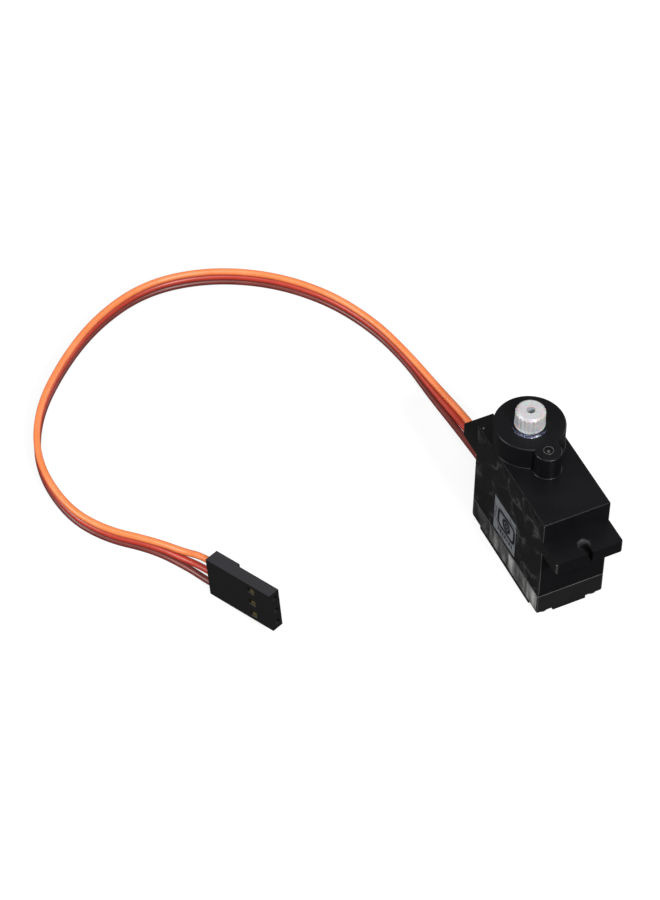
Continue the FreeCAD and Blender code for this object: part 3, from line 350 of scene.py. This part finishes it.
MATERIALS = {
    "case_black": plastic(
        "case_black", (0.003, 0.003, 0.0038), (0.005, 0.005, 0.0058), (0.26, 0.38), specular=0.22
    ),
    "cover_black": plastic(
        "cover_black", (0.006, 0.006, 0.006), (0.011, 0.011, 0.011), (0.12, 0.3), grain=0.2, specular=0.7
    ),
    # The plug's faces that look up are painted lighter: painted top light, with some dust.
    "plug_black": dust_and_top_light_plastic("plug_black", (0.005, 0.005, 0.0055), (0.021, 0.0205, 0.024)),
    "pot_plastic": plastic("pot_plastic", (0.02, 0.02, 0.022), (0.03, 0.03, 0.032)),
    "chip_black": plastic("chip_black", (0.015, 0.015, 0.015), (0.025, 0.025, 0.025), (0.5, 0.7)),
    "resistive_track": plastic("resistive_track", (0.02, 0.02, 0.02), (0.03, 0.03, 0.03), (0.5, 0.6)),
    "magnet": plastic("magnet", (0.03, 0.03, 0.03), (0.05, 0.05, 0.05), (0.5, 0.7)),
    "cap_plastic": plastic("cap_plastic", (0.6, 0.59, 0.54), (0.7, 0.69, 0.64)),
    "hookup_white": insulation("hookup_white", (0.6, 0.6, 0.58), (0.7, 0.7, 0.68)),
    "board_green": plastic("board_green", (0.015, 0.11, 0.04), (0.03, 0.17, 0.07), (0.2, 0.35)),
    "capacitor_tan": plastic("capacitor_tan", (0.4, 0.27, 0.13), (0.5, 0.36, 0.2)),
    "screw_steel": metal("screw_steel", (0.55, 0.55, 0.56)),
    "pin_steel": metal("pin_steel", (0.6, 0.6, 0.61), (0.15, 0.3)),
    "can_steel": metal("can_steel", (0.62, 0.62, 0.6)),
    "tinned_brass": metal("tinned_brass", (0.7, 0.66, 0.55)),
    "contact_gold": metal("contact_gold", (0.8, 0.62, 0.25), (0.2, 0.35)),
    "pinion_brass": metal("pinion_brass", (0.75, 0.58, 0.28)),
    "armature_copper": metal("armature_copper", (0.6, 0.3, 0.15)),
    "nylon_white": nylon(),
    "label_foil": foil(),
    # Light grey with strong gloss on black plastic: a painted highlight, used for the seam lip and the deck
    # glint.
    "painted_highlight_gloss": plastic(
        "painted_highlight_gloss", (0.07, 0.07, 0.068), (0.14, 0.14, 0.135), (0.1, 0.2), grain=0.1, specular=1.0
    ),
    "grease": grease_material(),
    "clear_film": clear_film_plastic(),
    "painted_reflection_film": painted_reflection_film_plastic(),
    # Lighter grey than the case: painted light on the keyholes' inner walls.
    "painted_lit_hole_grey": plastic(
        "painted_lit_hole_grey", (0.02, 0.02, 0.022), (0.035, 0.035, 0.037), (0.5, 0.65), grain=0.2, specular=0.3
    ),
    # Lighter grey with gloss: a painted highlight on the upright corners, the ear corners and the lobe
    # marks.
    "painted_edge_highlight": plastic(
        "painted_edge_highlight", (0.026, 0.026, 0.027), (0.05, 0.05, 0.05), (0.18, 0.32), grain=0.2, specular=0.7
    ),
    "label_ink": plastic("label_ink", (0.006, 0.006, 0.01), (0.01, 0.01, 0.014), (0.3, 0.4), specular=0.25),
    "wire_orange": insulation("wire_orange", (0.72, 0.18, 0.05), (0.82, 0.225, 0.08)),
    "wire_red": insulation("wire_red", (0.35, 0.03, 0.016), (0.44, 0.042, 0.024)),
    "wire_brown": insulation("wire_brown", (0.12, 0.02, 0.015), (0.165, 0.03, 0.023)),
}


for part in frame["record"]["subparts"]:
    slots = nodes[part["node"]].data.materials
    slots.clear()
    slots.append(MATERIALS[part["material_slot"]])


# ---------------------------------------------------------------- the lead
def wire(name, index, slot):
    """One wire as a smooth NURBS cord."""
    curve = bpy.data.curves.new(name, "CURVE")
    curve.dimensions = "3D"
    curve.bevel_depth = WIRE_DIAMETER / 2 * MM
    curve.bevel_resolution = 8
    curve.resolution_u = 16
    curve.use_fill_caps = True
    spline = curve.splines.new("NURBS")
    points = wire_points(index)
    spline.points.add(len(points) - 1)
    for target, point in zip(spline.points, points):
        target.co = (*(point * MM), 1.0)
    spline.order_u = 3
    spline.use_endpoint_u = True
    cord = bpy.data.objects.new(name, curve)
    bpy.context.scene.collection.objects.link(cord)
    curve.materials.append(MATERIALS[slot])
    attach(cord, "case")
    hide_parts(slot)


wire("lead_orange", 1, "wire_orange")
wire("lead_red", 0, "wire_red")
wire("lead_brown", -1, "wire_brown")


# ---------------------------------------------------------------- small details on the case
BOTTOM_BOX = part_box("bottom_cover")
CASE_HALF_X, CASE_HALF_Y, SEAM_Z = BOTTOM_BOX[1]
TOWER_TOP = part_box("top_cover")[1][2]
TOWER_HEIGHT = 4.4 * MM
DECK_TOP = TOWER_TOP - TOWER_HEIGHT
EAR_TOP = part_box("top_cover")[0][2]
EAR_THICK = 2.45 * MM
EAR_LOW = EAR_TOP - EAR_THICK
LABEL_LOW, LABEL_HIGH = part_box("side_label")
OUTPUT_X = 5.35 * MM
PIN_X = -1.075 * MM
HOLE_RADIUS = 1.02 * MM
HOLE_FROM_CASE = 2.6 * MM
CORNERS = ((1, 1), (-1, 1), (-1, -1), (1, -1))


def piece(name, corners, faces, material, slot, smooth=True):
    """A mesh that rides on the case."""
    mesh = bpy.data.meshes.new(name)
    mesh.from_pydata([tuple(c) for c in corners], [], faces)
    mesh.validate()
    if smooth:
        mesh.shade_smooth()
    else:
        mesh.shade_flat()
    mesh.materials.append(material)
    made = bpy.data.objects.new(name, mesh)
    bpy.context.scene.collection.objects.link(made)
    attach(made, "case")


def bead(path, radius, closed, sides=8):
    """Corners and faces of a round bead along a path; radius may be a function of the share of the way."""
    corners, faces, count = [], [], len(path)
    for i, here in enumerate(path):
        ahead = path[(i + 1) % count] if closed or i + 1 < count else here
        behind = path[i - 1] if closed or i else here
        along = (ahead - behind).normalized()
        reference = Vector((1, 0, 0)) if abs(along.z) > 0.9 else Vector((0, 0, 1))
        across = along.cross(reference).normalized()
        up = across.cross(along)
        size = radius(i / count) if callable(radius) else radius
        for k in range(sides):
            angle = 2 * math.pi * k / sides
            corners.append(here + (across * math.cos(angle) + up * math.sin(angle)) * size)
    for i in range(count if closed else count - 1):
        for k in range(sides):
            a, b = i * sides + k, i * sides + (k + 1) % sides
            c, d = (i + 1) % count * sides + (k + 1) % sides, (i + 1) % count * sides + k
            faces.append((a, b, c, d))
    if not closed:
        faces.append(tuple(range(sides))[::-1])
        faces.append(tuple(range((count - 1) * sides, count * sides)))
    return corners, faces


def rounded_loop(half_x, half_y, corner, z, steps=6):
    """Points round a rectangle with rounded corners."""
    loop = []
    for quarter, (a, b) in enumerate(CORNERS):
        for k in range(steps + 1):
            angle = math.pi / 2 * (quarter + k / steps)
            x = a * (half_x - corner) + corner * math.cos(angle)
            y = b * (half_y - corner) + corner * math.sin(angle)
            loop.append(Vector((x, y, z)))
    return loop


def arc(centre_x, radius, start, end, z, steps=40):
    """Points along an arc about an upright axis, angles in degrees."""
    turns = [math.radians(start + (end - start) * k / steps) for k in range(steps + 1)]
    return [Vector((centre_x + radius * math.cos(t), radius * math.sin(t), z)) for t in turns]


def seam_lip():
    """The small moulded lip where the bottom cover meets the middle case, in light grey as a painted
    highlight.
    """
    radius, inset, corner = 0.25 * MM, 0.23 * MM, 0.02 * MM
    loop = rounded_loop(CASE_HALF_X - inset, CASE_HALF_Y - inset, corner, SEAM_Z)
    piece("seam_lip", *bead(loop, radius, True, sides=24), MATERIALS["painted_highlight_gloss"], "cover_black")


def upright(x, y, low, high, steps=12):
    """Points up a straight upright line."""
    return [Vector((x, y, low + (high - low) * k / steps)) for k in range(steps + 1)]


def painted_corner_highlights():
    """A lighter grey line down each upright corner of the cover, the middle case and the deck: a painted
    highlight.
    """
    inset, broad, fine = 0.1 * MM, 0.12 * MM, 0.08 * MM
    from_floor, from_seam, from_deck = 0.9 * MM, 0.1 * MM, 0.2 * MM
    spans = (
        ("cover", from_floor, SEAM_Z - from_seam, broad, "cover_black"),
        ("case", SEAM_Z + from_seam, EAR_LOW, broad, "case_black"),
        ("deck", EAR_TOP, DECK_TOP - from_deck, fine, "case_black"),
    )
    for i, (a, b) in enumerate(CORNERS, 1):
        for part, low, high, radius, slot in spans:
            path = upright(a * (CASE_HALF_X - inset), b * (CASE_HALF_Y - inset), low, high)
            piece(f"corner_line_{part}_{i}", *bead(path, radius, False), MATERIALS["painted_edge_highlight"], slot)


def painted_ear_corner_highlights():
    """The rounded upright corners of both mounting ears, in lighter grey as a painted highlight."""
    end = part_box("middle_case")[1][0]
    radius, inset = 0.25 * MM, 0.27 * MM
    low, high = EAR_LOW + 0.1 * MM, EAR_TOP - 0.15 * MM
    for i, (a, b) in enumerate(CORNERS, 1):
        path = upright(a * (end - inset), b * (CASE_HALF_Y - inset), low, high)
        line = bead(path, radius, False, sides=16)
        piece(f"ear_corner_line_{i}", *line, MATERIALS["painted_edge_highlight"], "case_black")


def dome(name, x, y, level, radius, height, material):
    """A small round dome that stands up from a level, given a light material as a painted highlight."""
    rings, around = 6, 24
    corners = [Vector((x, y, level + height))]
    for r in range(1, rings + 1):
        lean = math.pi / 2 * r / rings
        reach, up = radius * math.sin(lean), height * math.cos(lean)
        for k in range(around):
            turn = 2 * math.pi * k / around
            corners.append(Vector((x + reach * math.cos(turn), y + reach * math.sin(turn), level + up)))
    faces = [(0, 1 + k, 1 + (k + 1) % around) for k in range(around)]
    for r in range(rings - 1):
        for k in range(around):
            a, b = 1 + r * around + k, 1 + r * around + (k + 1) % around
            faces.append((a, a + around, b + around, b))
    piece(name, corners, faces, MATERIALS[material], "case_black")


def wall(name, centre_x, radius, thick, start, end, low, high, material):
    """A thin upright wall along an arc."""
    inner = arc(centre_x, radius, start, end, low)
    outer = arc(centre_x, radius + thick, start, end, low)
    rise = Vector((0, 0, high - low))
    rows = [inner, outer, [p + rise for p in outer], [p + rise for p in inner]]
    corners = [p for group in zip(*rows) for p in group]
    faces = []
    for i in range(len(inner) - 1):
        for k in range(4):
            a, b = 4 * i + k, 4 * i + (k + 1) % 4
            faces.append((a, b, b + 4, a + 4))
    last = 4 * (len(inner) - 1)
    faces += [(3, 2, 1, 0), (last, last + 1, last + 2, last + 3)]
    piece(name, corners, faces, MATERIALS[material], "case_black")


def tower_feet():
    """The small fillets where the tower and its lobe meet the deck."""
    level = DECK_TOP + 0.04 * MM
    side = CASE_HALF_Y - 0.01 * MM
    fillet = 0.16 * MM
    tower = ("tower", OUTPUT_X, 5.87 * MM, -158, 158)
    lobe = ("lobe", PIN_X, 2.27 * MM, 72, 288)
    for name, centre, radius, start, end in (tower, lobe):
        path = arc(centre, radius, start, end, level, steps=72)
        corners, faces = bead(path, fillet, False, sides=12)
        kept = [Vector((c.x, max(-side, min(side, c.y)), c.z)) for c in corners]
        piece(f"foot_{name}", kept, faces, MATERIALS["case_black"], "case_black")


def keyhole_rims():
    """The raised rim round each keyhole and the lining of its hole, both open towards the slot. The lining
    is lighter grey: painted light on the hole's inner wall.
    """
    rim_radius, rim_thick = 1.13 * MM, 0.06 * MM
    lining_radius, lining_thick = HOLE_RADIUS - 0.03 * MM, 0.04 * MM
    low, high = EAR_TOP - 2.2 * MM, EAR_TOP - 0.15 * MM
    for name, side, start in (("near", 1, 40), ("far", -1, 220)):
        centre, end = side * (CASE_HALF_X + HOLE_FROM_CASE), start + 280
        rim = bead(arc(centre, rim_radius, start, end, EAR_TOP), rim_thick, False)
        piece(f"keyhole_rim_{name}", *rim, MATERIALS["case_black"], "case_black")
        wall(f"keyhole_wall_{name}", centre, lining_radius, lining_thick, start, end, low, high, "painted_lit_hole_grey")


def grease():
    """Grease pressed out at the foot of the output shaft."""
    path = arc(OUTPUT_X, 3.0 * MM, 85, 215, TOWER_TOP, steps=90)
    flatness, clearance = 0.35, 0.005 * MM

    def thick(share):
        """The radius of the smear at a share of the way along it: lumpy, and thin at both ends."""
        swell = 0.5 + 0.5 * noise.noise(Vector((share * 16, 3.1, 0)))
        return (0.22 + 0.36 * swell) * math.sin(math.pi * (share * 0.96 + 0.02)) * MM

    corners, faces = bead(path, thick, False, sides=12)
    lowest = TOWER_TOP + clearance
    flat = [Vector((c.x, c.y, max(TOWER_TOP + (c.z - TOWER_TOP) * flatness, lowest))) for c in corners]
    piece("shaft_grease", flat, faces, MATERIALS["grease"], "nylon_white")


def lobe_marks():
    """The moulded ring on top of the idler lobe and the mark in its dimple, both lighter grey as painted
    highlights.
    """
    dimple_depth, mark_radius, mark_height = 0.2 * MM, 0.3 * MM, 0.14 * MM
    dome("gate_mark", PIN_X, 0, TOWER_TOP - dimple_depth, mark_radius, mark_height, "painted_edge_highlight")
    ring_radius, ring_thick, ring_steps = 0.8 * MM, 0.06 * MM, 24
    loop = arc(PIN_X, ring_radius, 0, 360 - 360 / ring_steps, TOWER_TOP, ring_steps - 1)
    piece("lobe_ring", *bead(loop, ring_thick, True), MATERIALS["painted_edge_highlight"], "case_black")


def painted_deck_glint():
    """A small light grey dome in one corner of the deck: a painted glint."""
    radius, height = 0.18 * MM, 0.06 * MM
    x, y = CASE_HALF_X - 0.8 * MM, CASE_HALF_Y - 0.6 * MM
    dome("painted_deck_glint", x, y, DECK_TOP, radius, height, "painted_highlight_gloss")


def wrinkle(x, z):
    """Height of the film over the case side at a place, in metres."""
    lumps_per_metre = 420
    spot = Vector((x * lumps_per_metre, 0, z * lumps_per_metre))
    crease = 1 - abs(noise.noise(spot)) * 2.4
    fine = noise.noise(spot * 2.7)
    return (0.03 + 0.05 * max(crease, 0) ** 3 + 0.012 * fine) * MM


def clear_film(name, bottom, top, up, material):
    """Clear adhesive film over the labelled side between two heights, a little wrinkled."""
    margin, rim_lift, rim_steps, across = 0.35 * MM, 0.02 * MM, 3, 120
    low = Vector((-CASE_HALF_X + margin, 0, bottom))
    high = Vector((CASE_HALF_X - margin, 0, top))
    corners, faces = [], []
    for j in range(up + 1):
        for i in range(across + 1):
            x = low.x + (high.x - low.x) * i / across
            z = low.z + (high.z - low.z) * j / up
            rim = min(i, across - i, j, up - j) / rim_steps
            lift = wrinkle(x, z) if rim >= 1 else rim_lift + wrinkle(x, z) * rim
            corners.append(Vector((x, CASE_HALF_Y + lift, z)))
    for j in range(up):
        for i in range(across):
            a = j * (across + 1) + i
            faces.append((a, a + across + 1, a + across + 2, a + 1))
    piece(name, corners, faces, MATERIALS[material], "label_foil")


def ink(name, strokes):
    """Flat printed strokes on the label: each is (points, width, closed) in mm from its middle."""
    ink_thick = 0.012 * MM
    middle = (Vector(LABEL_LOW) + Vector(LABEL_HIGH)) / 2
    level = LABEL_HIGH[1] + ink_thick
    corners, faces = [], []
    for points, width, closed in strokes:
        count, first = len(points), len(corners)
        for i, (u, v) in enumerate(points):
            nxt = points[(i + 1) % count] if closed or i + 1 < count else points[i]
            last = points[i - 1] if closed or i else points[i]
            along = Vector((nxt[0] - last[0], nxt[1] - last[1])).normalized()
            for side in (1, -1):
                shift = Vector((-along.y, along.x)) * side * width / 2
                corners.append(Vector((middle.x - (u + shift.x) * MM, level, middle.z + (v + shift.y) * MM)))
        for i in range(count if closed else count - 1):
            a, b = first + 2 * i, first + 2 * ((i + 1) % count)
            faces.append((a, b, b + 1, a + 1))
    piece(name, corners, faces, MATERIALS["label_ink"], "label_foil", smooth=False)


def label_print():
    """A generic printed mark: a rounded frame with two rings in it, and a row of bars under it."""
    mark_u, mark_v = 0.5, 0.35
    outline = rounded_loop(2.7 * MM, 1.75 * MM, 0.9 * MM, 0)
    frame_line = [(p.x / MM + mark_u, p.y / MM + mark_v) for p in outline]
    turns = [2 * math.pi * k / 32 for k in range(32)]
    ring, dot = ([(mark_u + r * math.cos(t), mark_v + r * math.sin(t)) for t in turns] for r in (1.05, 0.4))
    strokes = [(frame_line, 0.62, True), (ring, 0.6, True), (dot, 0.4, True)]
    first_bar, bar_pitch, bar_top, bar_bottom = -1.9, 0.75, -2.1, -2.9
    for k in range(7):
        u = first_bar + bar_pitch * k
        strokes.append(([(u, bar_top), (u, bar_bottom)], 0.5 if k % 2 else 0.38, False))
    ink("label_print", strokes)


seam_lip()
painted_corner_highlights()
tower_feet()
keyhole_rims()
grease()
lobe_marks()
painted_ear_corner_highlights()
painted_deck_glint()
clear_film("clear_film", SEAM_Z + 0.2 * MM, DECK_TOP - 0.4 * MM, 90, "clear_film")
# The bottom cover's film carries painted reflections.
clear_film("cover_film", 0.85 * MM, SEAM_Z - 0.15 * MM, 24, "painted_reflection_film")
label_print()


# ---------------------------------------------------------------- stage, light and camera
FLOOR_SIZE = 6.0
FLOOR_DROP = 0.00005
FLOOR_GREY = 0.05
FLOOR_GLOW = 0.8
WORLD_STRENGTH = 0.24
LAMP_REACH = 0.7
MIDDLE = Vector((0.02, 0.02, 0.01))
CAMERA_PLACE = Vector((-0.3057, 0.1855, 0.4340))
CAMERA_AZIMUTH, CAMERA_ELEVATION, CAMERA_ROLL = -25.808, 48.967, 0.868
CAMERA_LENS, SENSOR_WIDTH = 137.42, 36.0


def stage():
    """A floor that the camera sees as white with a faint shadow, and that the glossy case sees as grey."""
    bpy.ops.mesh.primitive_plane_add(size=FLOOR_SIZE, location=(0, 0, -FLOOR_DROP))
    floor = bpy.context.object
    floor.name = "floor"
    material = bpy.data.materials.new("floor_white")
    material.use_nodes = True
    tree = material.node_tree
    tree.nodes.clear()
    out = tree.nodes.new("ShaderNodeOutputMaterial")
    grey = tree.nodes.new("ShaderNodeBsdfDiffuse")
    grey.inputs["Color"].default_value = (FLOOR_GREY, FLOOR_GREY, FLOOR_GREY, 1)
    white = tree.nodes.new("ShaderNodeBsdfDiffuse")
    white.inputs["Color"].default_value = (1, 1, 1, 1)
    glow = tree.nodes.new("ShaderNodeEmission")
    seen = tree.nodes.new("ShaderNodeMixShader")
    seen.inputs["Fac"].default_value = FLOOR_GLOW
    path = tree.nodes.new("ShaderNodeLightPath")
    either = tree.nodes.new("ShaderNodeMixShader")
    tree.links.new(white.outputs[0], seen.inputs[1])
    tree.links.new(glow.outputs[0], seen.inputs[2])
    tree.links.new(path.outputs["Is Camera Ray"], either.inputs["Fac"])
    tree.links.new(grey.outputs[0], either.inputs[1])
    tree.links.new(seen.outputs[0], either.inputs[2])
    tree.links.new(either.outputs[0], out.inputs["Surface"])
    floor.data.materials.append(material)

    world = bpy.data.worlds.new("studio")
    bpy.context.scene.world = world
    world.use_nodes = True
    back = world.node_tree.nodes["Background"]
    back.inputs["Color"].default_value = (1, 1, 1, 1)
    back.inputs["Strength"].default_value = WORLD_STRENGTH


def area_light(name, way, size, power):
    """A soft rectangular lamp some way off, in a direction seen from the middle of the servo."""
    light = bpy.data.lights.new(name, "AREA")
    light.shape = "RECTANGLE"
    light.size, light.size_y = size
    light.energy = power
    lamp = bpy.data.objects.new(name, light)
    bpy.context.scene.collection.objects.link(lamp)
    lamp.location = Vector(way).normalized() * LAMP_REACH + MIDDLE
    lamp.rotation_euler = (MIDDLE - lamp.location).to_track_quat("-Z", "Y").to_euler()


stage()
area_light("key", (-0.77, -0.1, 0.64), (0.12, 0.12), 4.6)
area_light("left", (0.18, 0.87, 0.47), (0.3, 0.16), 3.4)
area_light("high", (-0.45, 0.2, 1.0), (0.5, 0.5), 2.2)
area_light("fill", (0.15, -1.0, 0.35), (0.4, 0.25), 1.3)

camera_data = bpy.data.cameras.new("camera")
camera_data.lens = CAMERA_LENS
camera_data.sensor_width = SENSOR_WIDTH
camera_data.clip_end = 10.0
camera_data.clip_start = 0.01
camera = bpy.data.objects.new("camera", camera_data)
bpy.context.scene.collection.objects.link(camera)
turn = (
    Matrix.Rotation(math.radians(CAMERA_AZIMUTH - 90), 4, "Z")
    @ Matrix.Rotation(math.radians(90 - CAMERA_ELEVATION), 4, "X")
    @ Matrix.Rotation(math.radians(CAMERA_ROLL), 4, "Z")
)
camera.matrix_world = Matrix.Translation(CAMERA_PLACE) @ turn
scene = bpy.context.scene
scene.camera = camera
scene.view_settings.view_transform = "Standard"
